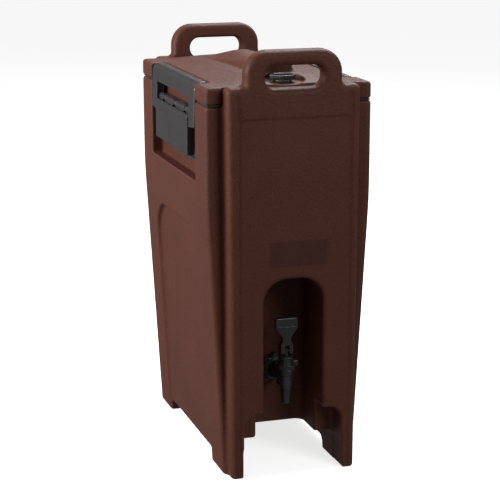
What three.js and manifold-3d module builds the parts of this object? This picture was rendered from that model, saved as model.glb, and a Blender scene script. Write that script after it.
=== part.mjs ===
// Insulated drinks carrier: a tall double-walled polyethylene container with a lift-off lid, two
// over-centre latches, a screw vent, moulded carrying handles and a spring-closed tap in a front bay.
//
// Units are millimetres. +Z is up, the tap faces -Y, and the origin is on the floor under the middle
// of the carrier.

import * as THREE from 'three';
import { mergeVertices } from 'three/addons/utils/BufferGeometryUtils.js';
import Module from 'manifold-3d';

const wasm = await Module();
wasm.setup();

// ---------------------------------------------------------------- driving dimensions
const GAP = 0.3;                 // clearance between pieces that touch

const BODY_W = 240;              // widest part of the body; the levers stand 2.5 proud of it
const BODY_D = 412;              // over the front and rear handle blocks
const BOX_D = 368;               // main box, between the steps beside the blocks
const RIM_Z = 529;               // rim of the body, where the lid seals
const TAPER_Z = 391;             // the sides are upright above this height
const FLOOR_HALF = 97.5;         // half width of the main box at the floor
const BOX_CORNER = 9;            // radius of the main box's upright edges

const BLOCK_HALF = 95.7;         // half width of the handle blocks at the top
const BLOCK_FOOT_HALF = 92;      // and at the floor
const BLOCK_TOP_Z = 556;
const BLOCK_CORNER = 11;
const SHOULDER_R = 12;
const HANDLE_TOP_Z = 605;
const HANDLE_ROOT_Z = 526;       // the handles run down into the blocks to here
const HANDLE_HALF = 69;
const HANDLE_T = 28;             // thickness of a handle, front to back
const HANDLE_R = 32;
const GRIP_HALF = 42;            // half width of the hand slot
const GRIP_Z = [553, 584];
const GRIP_R = 14;

const UNDER_Z = 45;              // underside of the insulated body
const SKIRT_Z = 18;              // lower edge of the side skirts
const FOOT_IN = 73;              // inner face of the feet
const FOOT_Y = 118;              // the feet run from here to the ends

const BAY_HALF = 44;             // tap bay, an arch that is open to the floor
const BAY_TOP_Z = 287;
const BAY_BACK_Y = -105;
const BAY_R = 34;
const SCOOP_Z = 94;              // wider, shallower opening between the front feet
const SCOOP_Y = -165;
const SCOOP_R = 20;

const PANEL_HALF = 120;          // arched side panel
const PANEL_TOP_Z = 345;
const PANEL_R = 52;
const PANEL_X = [97, 110.5];     // its floor, at the skirt and at the top

const RECESS_HALF = 124;         // latch recess in each side
const RECESS_Z = 418;
const RECESS_X = 102.5;

const WALL = 5;                  // outer shell
const BLOCK_WALL = 6;            // its wall at the ends of the handle blocks and under the tank
const CAVITY_HALF = 91.5;
const CHEEK_HALF = 85.5;         // the cavity beside the tap bay
const TANK_HALF = 80.5;          // outside of the inner tank
const TANK_Y = [-70, 166];       // lower part of the tank, behind the bay
const TANK_STEP_Z = 322;         // above this the tank runs forward over the bay
const TANK_FLOOR_Z = 104;
const TANK_WALL = 4;
const MOUTH_R = 20;
const PLUG_R = 11;               // plug that closes the foam filling hole
const PLUG_Y = 90;
const PLUG_FLANGE_R = 15;
const PLUG_FLANGE_Z = 42.4;

const LID_Z = 532;               // underside of the lid's flange
const LID_EDGE_Z = 555;
const LID_WALL = 4;
const ROOF_Z = 566;
const ROOF_FOOT_Y = [-128, 170.5];
const ROOF_TOP_Y = [-118, 120];
const ROOF_TOP_HALF = 36;
const CREST_Z = 580;
const CREST_HALF = [24, 8];      // half width of the crest at its front and rear ends
const CREST_Y = [-116, 48];
const CREST_FOOT = [28, -120];   // x, y of the ridge's foot at the front
const CREST_TAIL = [46, 130];    // where its flanks run out towards the back
const CREST_END = [23, 150];     // and where its crest does
const CREST_FOOT_Z = 558;
const LID_NOTCH_X = 99.5;        // wall of the lid's notch under each latch hook
const LID_INNER_Y = 176.5;
const LINER_Z = 512;             // bottom of the lid's plug in the tank mouth
const LINER_T = 3;
const LINER_GAP = 2;             // clearance of the plug in the tank
const LINER_R = 14;
const GASKET_INSET = 3;
const GASKET_MOUTH = [84, 166];  // half sizes of the hole in the gasket

const TAP_Z = 132;               // axis of the tap's shank
const TAP_Y = -168;              // axis of the spout and stem
const BARREL_R = 10.5;
const BARREL_Y = 50;             // the barrel's length, back from the axis of the spout
const SHANK_R = 11.7;
const SHANK_Y = [49, 114];       // the shank, measured back from that axis
const WATERWAY_R = 6;
const WASHER_R = 19;
const OUTER_WASHER_T = 3;
const INNER_WASHER_T = 2.5;
const NUT_R = 18;
const RING_NUT_T = 10.7;
const LOBE_R = 5;
const LOBES = 8;
const LOCK_NUT_T = 8;
const STEM_R = 3;
const STEM_Z = [124, 177];
const STEM_RIB = [5.2, 129, 131];  // radius and z of the rib that holds the seat cup
const PIN_Z = 173;               // pin that joins the tap handle to the stem
const HANDLE_PIN_R = 2;
const HANDLE_PIN_HALF = 9;
const SPRING_R = 5.6;
const SPRING_Z = [132.2, 156.8];
const SPRING_TURNS = 5;
const SPRING_WIRE_R = 0.6;

// Half sections of the turned pieces, as [radius, z].
const SPOUT = [[0, 95], [6, 95], [9.6, 134], [9.6, 139], [12, 140], [12, 146], [0, 146]];
const CHAMBER = [[0, 90], [4.2, 90], [4.2, 116], [7.6, 119], [7.6, 147], [0, 147]];
const BONNET = [[0, 146.3], [13, 146.3], [13, 153], [10.5, 156], [10.5, 164], [9, 166], [0, 166]];
const BONNET_BORE = [[0, 140], [7.4, 140], [7.4, 158], [3.4, 158], [3.4, 170], [0, 170]];
const SEAT_CUP = [[0, 117.2], [3.6, 117.2], [7, 120.4], [7, 128.6], [0, 128.6]];

// The handle's face, as [x, z], and its side, as [y, z] down to the rounding about the pin.
const PADDLE = [[9.5, 166.6], [9.5, 182], [6.4, 188], [6.4, 193], [16.5, 207], [16.5, 220], [14.5, 222]];
const PADDLE_SIDE = [[5, 200], [4, 223]];
const PADDLE_FOOT_R = 6.4;
const FORK_HALF = 3.5;
const FORK_TOP_Z = 182;

const VENT_Y = -150;
const VENT_R = 18;
const WELL_R = 30;
const VENT_BORE_R = 6;
const BUSHING_R = 9;
const BUSHING_FLANGE_R = 13;
const BUSHING_FLANGE_T = 2;
const VENT_SEAL_R = 10;
const VENT_SEAL_Z = [557.3, 559.2];
const CAP_STEM_R = 5.5;
const CAP_Z = [559.5, 565.9];    // the vent cap's disc
const CAP_STEM_Z = 530;
const CAP_RIB = [13, 2.2, 564.5, 568.5];   // half length, half width and z of its finger rib

// The latch is measured outward from the floor of its recess.
const LEVER_PIN = [9, 510];      // x, z of the latch lever's pivot on the body
const FRAME_PIN = [13, 497];     // x, z of the frame's pivot on the lever
const PIN_R = 2.5;
const LEVER_X = [8.5, 20];       // inner edge and outer face of the lever
const LEVER_Z = [448, 506];
const LEVER_SKIN = 4;
const BARREL_WEB_X = [5, 14];    // the web between the lever's face and its barrel
const LEVER_BARREL_R = 5;
const PLATE_T = 3;               // base plate of the latch
const PLATE_HALF = 88;
const PLATE_Z = [436, 514];
const LEVER_HALF = 90;
const FRAME_HALF = 121;
const LUGS = [-60, 0, 60];
const LUG_HALF = 5.5;
const LUG_R = 4.6;
const LUG_DROP = 9;              // height of the lugs' arms on the plate
const LUG_GAP = 1.5;             // side clearance of the lugs in the lever
const SCREW_Y = 62;
const SCREW_Z = 470;
const SCREW_R = 2.6;
const SCREW_HEAD_R = 5.5;
const SCREW_HEAD_T = 2.6;

// The frame's section, as [x, z]: up its outer face to the bend, and back from the hook's tip.
const FRAME_RISE = [[7, 489], [18.5, 489], [16, 545]];
const FRAME_BEND = [6, 546, 10];   // x, z and radius of the bend over the lid
const FRAME_RETURN = [[-1, 556], [-1.6, 554], [-1.6, 550.5], [4, 550.5], [7, 547]];
const WINDOW_HALF = 91.5;
const WINDOW_TOP_Z = 531;
const PIN_END = 8;               // how far the frame pins' holes stop short of the frame's ends

const LABEL_X = [-36, 48];       // blank plate on the front face
const LABEL_Z = [306, 342];
const LABEL_T = 0.8;

// ---------------------------------------------------------------- materials
function finish(color, roughness, metalness = 0) {
  return new THREE.MeshStandardMaterial({ color, roughness, metalness });
}

const MATERIALS = {
  shell: finish(0x4a2c25, 0.62),
  label: finish(0x371c15, 0.5),
  liner: finish(0x5a3a31, 0.5),
  foam: finish(0xe6d9a8, 0.95),
  nylon: finish(0x3b393d, 0.5),
  black: finish(0x161618, 0.3),
  seal: finish(0x141414, 0.75),
  silicone: finish(0xb9b6ae, 0.6),
  steel: finish(0xb8babd, 0.28, 1),
};

// ---------------------------------------------------------------- solids
function solid(geometry) {
  const bare = geometry.clone();
  bare.deleteAttribute('normal');
  bare.deleteAttribute('uv');
  const merged = mergeVertices(bare, 1e-4);
  const vertProperties = new Float32Array(merged.attributes.position.array);
  const triVerts = new Uint32Array(merged.index.array);
  return new wasm.Manifold(new wasm.Mesh({ numProp: 3, vertProperties, triVerts }));
}

function geometryOf(manifold) {
  const mesh = manifold.getMesh();
  const geometry = new THREE.BufferGeometry();
  geometry.setAttribute('position', new THREE.BufferAttribute(mesh.vertProperties, 3));
  geometry.setIndex(new THREE.BufferAttribute(mesh.triVerts, 1));
  const flat = geometry.toNonIndexed();
  flat.computeVertexNormals();
  return flat;
}

function outline(points) {
  return new THREE.Shape(points.map(([u, v]) => new THREE.Vector2(u, v)));
}

// A rectangle with one corner radius for each end of its second axis.
function roundRect(u0, u1, v0, v1, low, high = low) {
  const shape = new THREE.Shape();
  shape.moveTo(u0 + low, v0);
  shape.lineTo(u1 - low, v0);
  if (low > 0) shape.absarc(u1 - low, v0 + low, low, -Math.PI / 2, 0);
  shape.lineTo(u1, v1 - high);
  if (high > 0) shape.absarc(u1 - high, v1 - high, high, 0, Math.PI / 2);
  shape.lineTo(u0 + high, v1);
  if (high > 0) shape.absarc(u0 + high, v1 - high, high, Math.PI / 2, Math.PI);
  shape.lineTo(u0, v0 + low);
  if (low > 0) shape.absarc(u0 + low, v0 + low, low, Math.PI, 1.5 * Math.PI);
  return shape;
}

function extrude(shape, depth, curveSegments) {
  return new THREE.ExtrudeGeometry(shape, { depth, bevelEnabled: false, curveSegments });
}

// Prisms along each axis: the shape holds (x, y), (x, z) or (y, z).
function prismZ(shape, z0, z1, segments = 6) {
  return solid(extrude(shape, z1 - z0, segments).translate(0, 0, z0));
}

function prismY(shape, y0, y1, segments = 6) {
  return solid(extrude(shape, y1 - y0, segments).rotateX(Math.PI / 2).translate(0, y1, 0));
}

function prismX(shape, x0, x1, segments = 6) {
  const turn = new THREE.Matrix4().set(0, 0, 1, 0, 1, 0, 0, 0, 0, 1, 0, 0, 0, 0, 0, 1);
  return solid(extrude(shape, x1 - x0, segments).applyMatrix4(turn).translate(x0, 0, 0));
}

function box(x0, x1, y0, y1, z0, z1) {
  const geometry = new THREE.BoxGeometry(x1 - x0, y1 - y0, z1 - z0);
  return solid(geometry.translate((x0 + x1) / 2, (y0 + y1) / 2, (z0 + z1) / 2));
}

// A four-sided frustum from one rectangle to a smaller one above it: [x0, x1, y0, y1, z].
function frustum(low, high) {
  const geometry = new THREE.BoxGeometry(1, 1, 1);
  const position = geometry.attributes.position;
  for (let i = 0; i < position.count; i += 1) {
    const level = position.getZ(i) > 0 ? high : low;
    const x = position.getX(i) > 0 ? level[1] : level[0];
    const y = position.getY(i) > 0 ? level[3] : level[2];
    position.setXYZ(i, x, y, level[4]);
  }
  return solid(geometry);
}

// A turned solid about the vertical axis, from [radius, z] points that start and end on the axis.
function turned(points, segments = 24) {
  return solid(new THREE.LatheGeometry(points.map(([r, z]) => new THREE.Vector2(r, z)), segments)
    .rotateX(Math.PI / 2));
}

function rod(radius, z0, z1, segments = 24) {
  return turned([[0, z0], [radius, z0], [radius, z1], [0, z1]], segments);
}

function rodX(radius, x0, x1, y, z, segments = 14) {
  return rod(radius, x0, x1, segments).rotate([0, 90, 0]).translate([0, y, z]);
}

function rodY(radius, y0, y1, x, z, segments = 14) {
  return rod(radius, -y1, -y0, segments).rotate([90, 0, 0]).translate([x, 0, z]);
}

function joined(...solids) {
  return solids.reduce((whole, piece) => whole.add(piece));
}

function bothEnds(piece) {
  return piece.add(piece.mirror([0, 1, 0]));
}

function bothSides(piece) {
  return piece.add(piece.mirror([1, 0, 0]));
}

function mesh(name, manifold, material) {
  const node = new THREE.Mesh(geometryOf(manifold), MATERIALS[material]);
  node.name = name;
  return node;
}

// ---------------------------------------------------------------- body
function mainBox() {
  const half = BODY_W / 2;
  const side = outline([
    [-FLOOR_HALF, 0], [FLOOR_HALF, 0], [half, TAPER_Z], [half, RIM_Z], [-half, RIM_Z], [-half, TAPER_Z],
  ]);
  const plan = roundRect(-half, half, -BOX_D / 2, BOX_D / 2, BOX_CORNER);
  return prismY(side, -BOX_D / 2, BOX_D / 2).intersect(prismZ(plan, 0, RIM_Z));
}

function handleBlocks() {
  const side = new THREE.Shape();
  side.moveTo(-BLOCK_FOOT_HALF, 0);
  side.lineTo(BLOCK_FOOT_HALF, 0);
  side.lineTo(BLOCK_HALF, BLOCK_TOP_Z - SHOULDER_R);
  side.absarc(BLOCK_HALF - SHOULDER_R, BLOCK_TOP_Z - SHOULDER_R, SHOULDER_R, 0, Math.PI / 2);
  side.lineTo(-BLOCK_HALF + SHOULDER_R, BLOCK_TOP_Z);
  side.absarc(-BLOCK_HALF + SHOULDER_R, BLOCK_TOP_Z - SHOULDER_R, SHOULDER_R, Math.PI / 2, Math.PI);
  const plan = roundRect(-BLOCK_HALF, BLOCK_HALF, -BODY_D / 2, BODY_D / 2, BLOCK_CORNER);
  return prismY(side, -BODY_D / 2, BODY_D / 2).intersect(prismZ(plan, 0, BLOCK_TOP_Z));
}

function handleArch() {
  const arch = roundRect(-HANDLE_HALF, HANDLE_HALF, HANDLE_ROOT_Z, HANDLE_TOP_Z, 0, HANDLE_R);
  return bothEnds(prismY(arch, -BODY_D / 2, -BODY_D / 2 + HANDLE_T, 8));
}

function gripSlots() {
  const slot = roundRect(-GRIP_HALF, GRIP_HALF, GRIP_Z[0], GRIP_Z[1], GRIP_R);
  return prismY(slot, -BODY_D, BODY_D, 6);
}

function tapBay() {
  const arch = roundRect(-BAY_HALF, BAY_HALF, -1, BAY_TOP_Z, 0, BAY_R);
  const scoop = roundRect(-FOOT_IN, FOOT_IN, -1, SCOOP_Z, 0, SCOOP_R);
  return prismY(arch, -BODY_D, BAY_BACK_Y, 8).add(prismY(scoop, -BODY_D, SCOOP_Y));
}

function underbody() {
  const middle = box(-FOOT_IN, FOOT_IN, -BODY_D, BODY_D, -1, UNDER_Z);
  return middle.add(box(-BODY_W, BODY_W, -FOOT_Y, FOOT_Y, -1, SKIRT_Z));
}

function sidePanels() {
  const arch = roundRect(-PANEL_HALF, PANEL_HALF, SKIRT_Z - 2, PANEL_TOP_Z, 0, PANEL_R);
  const [low, high] = PANEL_X;
  const outside = outline([[low, 0], [BODY_W, 0], [BODY_W, PANEL_TOP_Z + 1], [high, PANEL_TOP_Z + 1]]);
  return bothSides(prismX(arch, 0, BODY_W, 8).intersect(prismY(outside, -BODY_D, BODY_D)));
}

function latchRecesses() {
  return bothSides(box(RECESS_X, BODY_W, -RECESS_HALF, RECESS_HALF, RECESS_Z, RIM_Z + 1));
}

// The space for the foam, grown or shrunk by an offset so that the foam keeps its clearance.
function wallCavity(offset) {
  const half = CAVITY_HALF - offset;
  const end = BOX_D / 2 - WALL - offset;
  const bayBack = BAY_BACK_Y + WALL + offset;
  const bayTop = BAY_TOP_Z + WALL + offset;
  const floor = UNDER_Z + BLOCK_WALL + offset;
  const bayHalf = BAY_HALF + WALL + offset;
  const blockEnd = BODY_D / 2 - BLOCK_WALL - offset;
  const cheek = box(bayHalf, CHEEK_HALF - offset, -blockEnd, bayBack + 1, SCOOP_Z + WALL + offset,
    BAY_TOP_Z + BLOCK_WALL - offset);
  return joined(
    box(-half, half, -end, end, bayTop, RIM_Z + 1),
    box(-half, half, bayBack, end, floor, bayTop + 1),
    bothSides(cheek),
  );
}

function outerShell() {
  const well = box(-BODY_W, BODY_W, -BODY_D / 2 + HANDLE_T, BODY_D / 2 - HANDLE_T, RIM_Z, HANDLE_TOP_Z + 1);
  return joined(mainBox(), handleBlocks(), handleArch())
    .subtract(well)
    .subtract(gripSlots())
    .subtract(tapBay())
    .subtract(underbody())
    .subtract(sidePanels())
    .subtract(latchRecesses())
    .subtract(wallCavity(0))
    .subtract(rodY(SHANK_R + GAP, BAY_BACK_Y - 1, BAY_BACK_Y + WALL + 1, 0, TAP_Z))
    .subtract(rod(PLUG_R + GAP, UNDER_Z - 1, UNDER_Z + WALL + 2).translate([0, PLUG_Y, 0]))
    .subtract(labelPlate(GAP));
}

// The plate in its pocket; grown by the clearance it is the pocket itself.
function labelPlate(clearance) {
  const front = -BODY_D / 2;
  return box(LABEL_X[0] - clearance, LABEL_X[1] + clearance, front - clearance,
    front + LABEL_T + clearance, LABEL_Z[0] - clearance, LABEL_Z[1] + clearance);
}

// The tank as a solid, shrunk by an inset on its sides and floor.
function tankSolid(inset, top) {
  const half = TANK_HALF - inset;
  const lower = roundRect(-half, half, TANK_Y[0] + inset, TANK_Y[1] - inset, MOUTH_R - inset);
  const upper = roundRect(-half, half, -TANK_Y[1] + inset, TANK_Y[1] - inset, MOUTH_R - inset);
  const joint = TANK_STEP_Z + inset;
  return prismZ(lower, TANK_FLOOR_Z + inset, joint + 1).add(prismZ(upper, joint, top));
}

function foamCore() {
  const top = RIM_Z - TANK_WALL - GAP;
  const above = box(-BODY_W, BODY_W, -BODY_D, BODY_D, top, RIM_Z + 2);
  return wallCavity(GAP)
    .subtract(above)
    .subtract(tankSolid(-GAP, RIM_Z + 2))
    .subtract(rodY(SHANK_R + 1, -BODY_D / 2, 0, 0, TAP_Z));
}

function innerTank() {
  const half = CAVITY_HALF - GAP;
  const end = BOX_D / 2 - WALL - GAP;
  const flange = box(-half, half, -end, end, RIM_Z - TANK_WALL, RIM_Z);
  return tankSolid(0, RIM_Z)
    .add(flange)
    .subtract(tankSolid(TANK_WALL, RIM_Z + 1))
    .subtract(rodY(SHANK_R + GAP, TANK_Y[0] - 1, TANK_Y[0] + TANK_WALL + 1, 0, TAP_Z));
}

function foamFillPlug() {
  const shank = rod(PLUG_R, UNDER_Z - 1, UNDER_Z + WALL);
  return shank.add(rod(PLUG_FLANGE_R, PLUG_FLANGE_Z, UNDER_Z - GAP)).translate([0, PLUG_Y, 0]);
}

// ---------------------------------------------------------------- lid
// Plan of the lid, notched at the ends for the handle blocks and at the sides for the latch hooks.
function lidPlan(inset) {
  const notch = LID_NOTCH_X - inset;
  const half = BODY_W / 2 - inset;
  const hookEnd = RECESS_HALF + 1 + inset;
  const blockSide = BLOCK_HALF + 1.2 + inset;
  const end = BOX_D / 2 - inset;
  const middle = LID_INNER_Y - inset;
  const quarter = [[notch, hookEnd], [half, hookEnd], [half, end], [blockSide, end], [blockSide, middle]];
  const mirrored = (sx, sy) => quarter.map(([x, y]) => [sx * x, sy * y]);
  return outline([
    ...mirrored(1, 1), ...mirrored(-1, 1).reverse(), ...mirrored(-1, -1), ...mirrored(1, -1).reverse(),
  ]);
}

// The sloping roof and its crest, shrunk by a wall thickness for the hollow inside.
function lidRoof(wall) {
  const out = LID_NOTCH_X - wall;
  const top = ROOF_TOP_HALF - wall;
  const roof = frustum(
    [-out, out, ROOF_FOOT_Y[0] + wall, ROOF_FOOT_Y[1] - wall, LID_EDGE_Z - 1 - wall],
    [-top, top, ROOF_TOP_Y[0] + wall, ROOF_TOP_Y[1] - wall, ROOF_Z - wall],
  );
  const foot = CREST_FOOT_Z - wall;
  const corners = [
    [CREST_HALF[0] - wall, CREST_Y[0] + wall, CREST_Z - wall],
    [CREST_HALF[1] - wall / 2, CREST_Y[1] - wall, CREST_Z - wall],
    [CREST_FOOT[0] - wall, CREST_FOOT[1] + wall, foot],
    [CREST_TAIL[0] - wall, CREST_TAIL[1] - wall, foot],
    [CREST_END[0], CREST_END[1] - wall, foot],
  ];
  return roof.add(wasm.Manifold.hull(corners.flatMap(([x, y, z]) => [[x, y, z], [-x, y, z]])));
}

function lidHollow(offset) {
  const wall = LID_WALL + offset;
  const tray = box(-LID_NOTCH_X + wall, LID_NOTCH_X - wall, -LID_INNER_Y + wall, LID_INNER_Y - wall,
    LID_Z - 1, LID_EDGE_Z - wall);
  return tray.add(lidRoof(wall));
}

function ventHole(radius) {
  return rod(radius, LINER_Z - 1, CREST_Z + 1).translate([0, VENT_Y, 0]);
}

function lidShell() {
  return prismZ(lidPlan(0), LID_Z, LID_EDGE_Z)
    .add(lidRoof(0))
    .subtract(rod(WELL_R, LID_EDGE_Z, CREST_Z + 1, 32).translate([0, VENT_Y, 0]))
    .subtract(lidHollow(0))
    .subtract(ventHole(BUSHING_R + GAP));
}

function linerPlug(inset, z0, z1) {
  const half = TANK_HALF - TANK_WALL - LINER_GAP - inset;
  const end = TANK_Y[1] - TANK_WALL - LINER_GAP - inset;
  return prismZ(roundRect(-half, half, -end, end, LINER_R - inset), z0, z1);
}

function lidLiner() {
  const half = LID_NOTCH_X - LID_WALL - GAP;
  const end = LID_INNER_Y - LID_WALL - GAP;
  return box(-half, half, -end, end, LID_Z, LID_Z + LINER_T)
    .add(linerPlug(0, LINER_Z, LID_Z + LINER_T))
    .subtract(linerPlug(LINER_T, LINER_Z + LINER_T, LID_Z + LINER_T + 1))
    .subtract(ventHole(BUSHING_R + GAP));
}

function lidFoam() {
  const below = box(-BODY_W, BODY_W, -BODY_D, BODY_D, 0, LID_Z + LINER_T + GAP);
  return lidHollow(GAP)
    .subtract(below)
    .add(linerPlug(LINER_T + GAP, LINER_Z + LINER_T + GAP, LID_Z + LINER_T + 1))
    .subtract(ventHole(BUSHING_R + GAP));
}

function lidGasket() {
  const [half, end] = GASKET_MOUTH;
  const inner = roundRect(-half, half, -end, end, MOUTH_R);
  const plate = prismZ(lidPlan(GASKET_INSET), RIM_Z + GAP, LID_Z - GAP);
  return plate.subtract(prismZ(inner, RIM_Z - 1, LID_Z + 1));
}

// ---------------------------------------------------------------- vent
function ventBushing() {
  const low = LINER_Z - 2;
  const seat = LID_EDGE_Z + GAP;
  const top = LID_EDGE_Z + BUSHING_FLANGE_T;
  const outside = turned([
    [0, low], [BUSHING_R, low], [BUSHING_R, seat],
    [BUSHING_FLANGE_R, seat], [BUSHING_FLANGE_R, top], [0, top],
  ]);
  return outside.subtract(rod(VENT_BORE_R, low - 1, top + 1)).translate([0, VENT_Y, 0]);
}

function ventSeal() {
  const [low, high] = VENT_SEAL_Z;
  return rod(VENT_SEAL_R, low, high)
    .subtract(rod(VENT_BORE_R, low - 1, high + 1))
    .translate([0, VENT_Y, 0]);
}

function ventCap() {
  const [low, high] = CAP_Z;
  const disc = turned([
    [0, CAP_STEM_Z], [CAP_STEM_R, CAP_STEM_Z], [CAP_STEM_R, low], [VENT_R - 2, low], [VENT_R, low + 2],
    [VENT_R, low + 4.5], [VENT_R - 2.5, low + 6], [0, high],
  ], 32);
  const [length, width, foot, top] = CAP_RIB;
  return disc.add(box(-length, length, -width, width, foot, top)).translate([0, VENT_Y, 0]);
}

// ---------------------------------------------------------------- tap
function tapBody() {
  const barrel = rodY(BARREL_R, 0, BARREL_Y, 0, TAP_Z);
  const shank = rodY(SHANK_R, SHANK_Y[0], SHANK_Y[1], 0, TAP_Z);
  const bore = rodY(WATERWAY_R, 0, SHANK_Y[1] + 1, 0, TAP_Z);
  return joined(turned(SPOUT), barrel, shank)
    .subtract(turned(CHAMBER))
    .subtract(bore)
    .translate([0, TAP_Y, 0]);
}

// A disc on the tap's shank, with the hole for it.
function onShank(disc, y0, y1) {
  return disc.subtract(rodY(SHANK_R + GAP, y0 - 1, y1 + 1, 0, TAP_Z));
}

function tapOuterWasher() {
  const y0 = BAY_BACK_Y - OUTER_WASHER_T;
  const y1 = BAY_BACK_Y - GAP;
  return onShank(rodY(WASHER_R, y0, y1, 0, TAP_Z, 28), y0, y1);
}

function tapRingNut() {
  const y1 = BAY_BACK_Y - OUTER_WASHER_T - GAP;
  const y0 = y1 - RING_NUT_T;
  let nut = rodY(NUT_R, y0, y1, 0, TAP_Z, 28);
  for (let lobe = 0; lobe < LOBES; lobe += 1) {
    const angle = (lobe / LOBES) * 2 * Math.PI;
    const x = NUT_R * Math.cos(angle);
    const z = TAP_Z + NUT_R * Math.sin(angle);
    nut = nut.add(rodY(LOBE_R, y0 + 1, y1, x, z, 12));
  }
  return onShank(nut, y0, y1);
}

function tapInnerWasher() {
  const y0 = TANK_Y[0] + TANK_WALL + GAP;
  const y1 = y0 + INNER_WASHER_T;
  return onShank(rodY(WASHER_R, y0, y1, 0, TAP_Z, 28), y0, y1);
}

function tapLockNut() {
  const y0 = TANK_Y[0] + TANK_WALL + INNER_WASHER_T + 3 * GAP;
  const y1 = y0 + LOCK_NUT_T;
  return onShank(rodY(NUT_R, y0, y1, 0, TAP_Z, 6), y0, y1);
}

function tapBonnet() {
  const lug = box(9, 17, -3, 3, 149, 158);
  return turned(BONNET).add(lug).subtract(turned(BONNET_BORE)).translate([0, TAP_Y, 0]);
}

function tapStem() {
  const [low, high] = STEM_Z;
  const [ribR, ribLow, ribHigh] = STEM_RIB;
  return rod(STEM_R, low, high, 16)
    .subtract(rodX(HANDLE_PIN_R + GAP, -6, 6, 0, PIN_Z, 16))
    .add(rod(ribR, ribLow, ribHigh, 16))
    .translate([0, TAP_Y, 0]);
}

function tapSeatCup() {
  const socket = rod(STEM_R + GAP, STEM_Z[0] - 0.4, STEM_RIB[2] - 1, 16);
  return turned(SEAT_CUP, 20).subtract(socket).translate([0, TAP_Y, 0]);
}

function tapHandlePin() {
  return rodX(HANDLE_PIN_R, -HANDLE_PIN_HALF, HANDLE_PIN_HALF, TAP_Y, PIN_Z, 16);
}

function tapHandle() {
  const face = outline([...PADDLE, ...PADDLE.map(([x, z]) => [-x, z]).reverse()]);
  const side = new THREE.Shape();
  side.moveTo(-PADDLE_SIDE[1][0], PADDLE_SIDE[1][1]);
  side.lineTo(-PADDLE_SIDE[0][0], PADDLE_SIDE[0][1]);
  side.lineTo(-PADDLE_FOOT_R, PIN_Z);
  side.absarc(0, PIN_Z, PADDLE_FOOT_R, Math.PI, 2 * Math.PI);
  PADDLE_SIDE.forEach(([y, z]) => side.lineTo(y, z));
  return prismY(face, -10, 10)
    .intersect(prismX(side, -20, 20))
    .subtract(box(-FORK_HALF, FORK_HALF, -12, 12, PADDLE[0][1] - 6, FORK_TOP_Z))
    .subtract(rodX(HANDLE_PIN_R + GAP, -12, 12, 0, PIN_Z, 16))
    .translate([0, TAP_Y, 0]);
}

class Helix extends THREE.Curve {
  getPoint(t) {
    const angle = t * SPRING_TURNS * 2 * Math.PI;
    const z = SPRING_Z[0] + (SPRING_Z[1] - SPRING_Z[0]) * t;
    return new THREE.Vector3(SPRING_R * Math.cos(angle), SPRING_R * Math.sin(angle), z);
  }
}

function tapSpring() {
  const wire = new THREE.Shape().absarc(0, 0, SPRING_WIRE_R, 0, 2 * Math.PI);
  const options = { steps: 60, extrudePath: new Helix(), curveSegments: 3, bevelEnabled: false };
  return solid(new THREE.ExtrudeGeometry(wire, options)).translate([0, TAP_Y, 0]);
}

// ---------------------------------------------------------------- latch, built for the +X side
function pinHole(pin) {
  return rodY(PIN_R + GAP, -LEVER_HALF - 5, LEVER_HALF + 5, pin[0], pin[1]);
}

// Runs of the lever's barrel between the lugs of the base.
function barrelRuns() {
  const end = LEVER_HALF - 2;
  const edges = [-end, ...LUGS.flatMap((y) => [y - LUG_HALF - LUG_GAP, y + LUG_HALF + LUG_GAP]), end];
  const runs = [];
  for (let i = 0; i < edges.length; i += 2) {
    runs.push([edges[i], edges[i + 1]]);
  }
  return runs;
}

function leverBarrel() {
  return barrelRuns().map(([y0, y1]) => {
    const web = box(BARREL_WEB_X[0], BARREL_WEB_X[1], y0, y1, LEVER_Z[1] - 7, LEVER_PIN[1]);
    return rodY(LEVER_BARREL_R, y0, y1, LEVER_PIN[0], LEVER_PIN[1]).add(web);
  });
}

function latchBase() {
  const plate = box(GAP, GAP + PLATE_T, -PLATE_HALF, PLATE_HALF, PLATE_Z[0], PLATE_Z[1]);
  const lugs = LUGS.map((y) => {
    const arm = box(2, LEVER_PIN[0], y - LUG_HALF, y + LUG_HALF, PLATE_Z[1] - LUG_DROP, PLATE_Z[1]);
    return arm.add(rodY(LUG_R, y - LUG_HALF, y + LUG_HALF, LEVER_PIN[0], PLATE_Z[1] - LUG_R));
  });
  const screwHoles = [-SCREW_Y, SCREW_Y].map((y) => rodX(SCREW_R + 0.7, -7, 13, y, SCREW_Z, 16));
  return joined(plate, ...lugs).subtract(pinHole(LEVER_PIN)).subtract(joined(...screwHoles));
}

function latchScrew(side) {
  const under = GAP + PLATE_T + GAP;
  return rodX(SCREW_R, GAP, under + 1, side * SCREW_Y, SCREW_Z, 16)
    .add(rodX(SCREW_HEAD_R, under, under + SCREW_HEAD_T, side * SCREW_Y, SCREW_Z, 16));
}

function latchLever() {
  const [inner, outer] = LEVER_X;
  const [low, high] = LEVER_Z;
  const face = prismY(outline([
    [inner, low], [outer - 1.5, low], [outer, low + 2], [outer, high - 3], [outer - 3, high], [inner, high],
  ]), -LEVER_HALF, LEVER_HALF);
  const reach = LEVER_HALF - LEVER_SKIN;
  const pocket = box(3, outer - LEVER_SKIN, -reach, reach, low + LEVER_SKIN, high - 7);
  const lugSlots = LUGS.map((y) => {
    const half = LUG_HALF + LUG_GAP;
    return box(3, outer - 4.5, y - half, y + half, high - 8, LEVER_PIN[1] + 10);
  });
  return joined(face, ...leverBarrel())
    .subtract(joined(pocket, ...lugSlots))
    .subtract(pinHole(LEVER_PIN))
    .subtract(pinHole(FRAME_PIN));
}

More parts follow.
